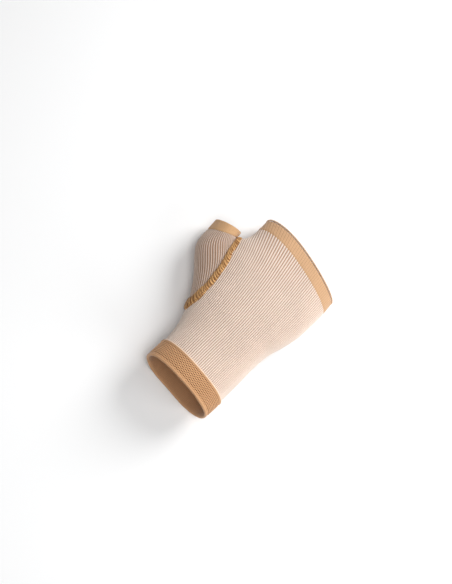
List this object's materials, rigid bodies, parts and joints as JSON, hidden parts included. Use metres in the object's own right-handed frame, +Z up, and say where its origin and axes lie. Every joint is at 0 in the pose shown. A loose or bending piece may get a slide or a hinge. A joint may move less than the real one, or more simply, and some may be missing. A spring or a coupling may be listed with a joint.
{
  "type": "elastic wrist support",
  "caption": "Tubular ribbed-knit wrist support with a sewn-in thumb stall, a turned tan cuff and hemmed elastic bands at the knuckles and thumb.",
  "frame": {"origin": "on the table plane under the middle of the support's box", "axes": "+Y along the hand toward the fingers, +Z up through the back of the hand, the thumb at -X"},
  "size_m": [0.1182, 0.158, 0.0469],
  "materials": {
    "ribbed_knit": "cream ribs with thin tan grooves",
    "tan_knit": "fine plain tan knit",
    "cuff_knit": "tan bird's-eye knit",
    "seam_thread": "golden-tan overlock thread",
    "elastic": "covered natural rubber"
  },
  "bodies": {
    "hand": {"hand_sleeve": "ribbed_knit", "wrist_flex_zone": "ribbed_knit", "thumb_stall": "ribbed_knit", "thumb_flex_zone": "ribbed_knit", "thumb_seam_thread": "seam_thread", "knuckle_band_outer": "tan_knit", "knuckle_band_lining": "tan_knit", "knuckle_band_elastic_1": "elastic", "knuckle_band_elastic_2": "elastic", "knuckle_band_edge_roll": "tan_knit"},
    "forearm": {"forearm_sleeve": "ribbed_knit", "wrist_cuff_outer": "cuff_knit", "wrist_cuff_lining": "cuff_knit", "wrist_cuff_elastic_1": "elastic", "wrist_cuff_elastic_2": "elastic", "wrist_cuff_elastic_3": "elastic", "wrist_cuff_lower_roll": "cuff_knit", "wrist_cuff_upper_roll": "cuff_knit"},
    "thumb": {"thumb_band_outer": "tan_knit", "thumb_band_lining": "tan_knit", "thumb_band_elastic": "elastic", "thumb_band_edge_roll": "tan_knit"}
  },
  "joints": [
    {"name": "wrist_bend", "type": "hinge", "parent": "hand", "child": "forearm", "pos_m": [0.01524, -0.03805, 0.02051], "axis": [1, 0, 0], "range_deg": [-30, 30], "stiffness_Nm_per_rad": 0.15, "deforming": ["wrist_flex_zone"]},
    {"name": "thumb_swing", "type": "hinge", "parent": "hand", "child": "thumb", "pos_m": [-0.03519, 0.04467, 0.0175], "axis": [0, 0, 1], "range_deg": [-8, 15], "stiffness_Nm_per_rad": 0.05, "deforming": ["thumb_flex_zone"]}
  ]
}
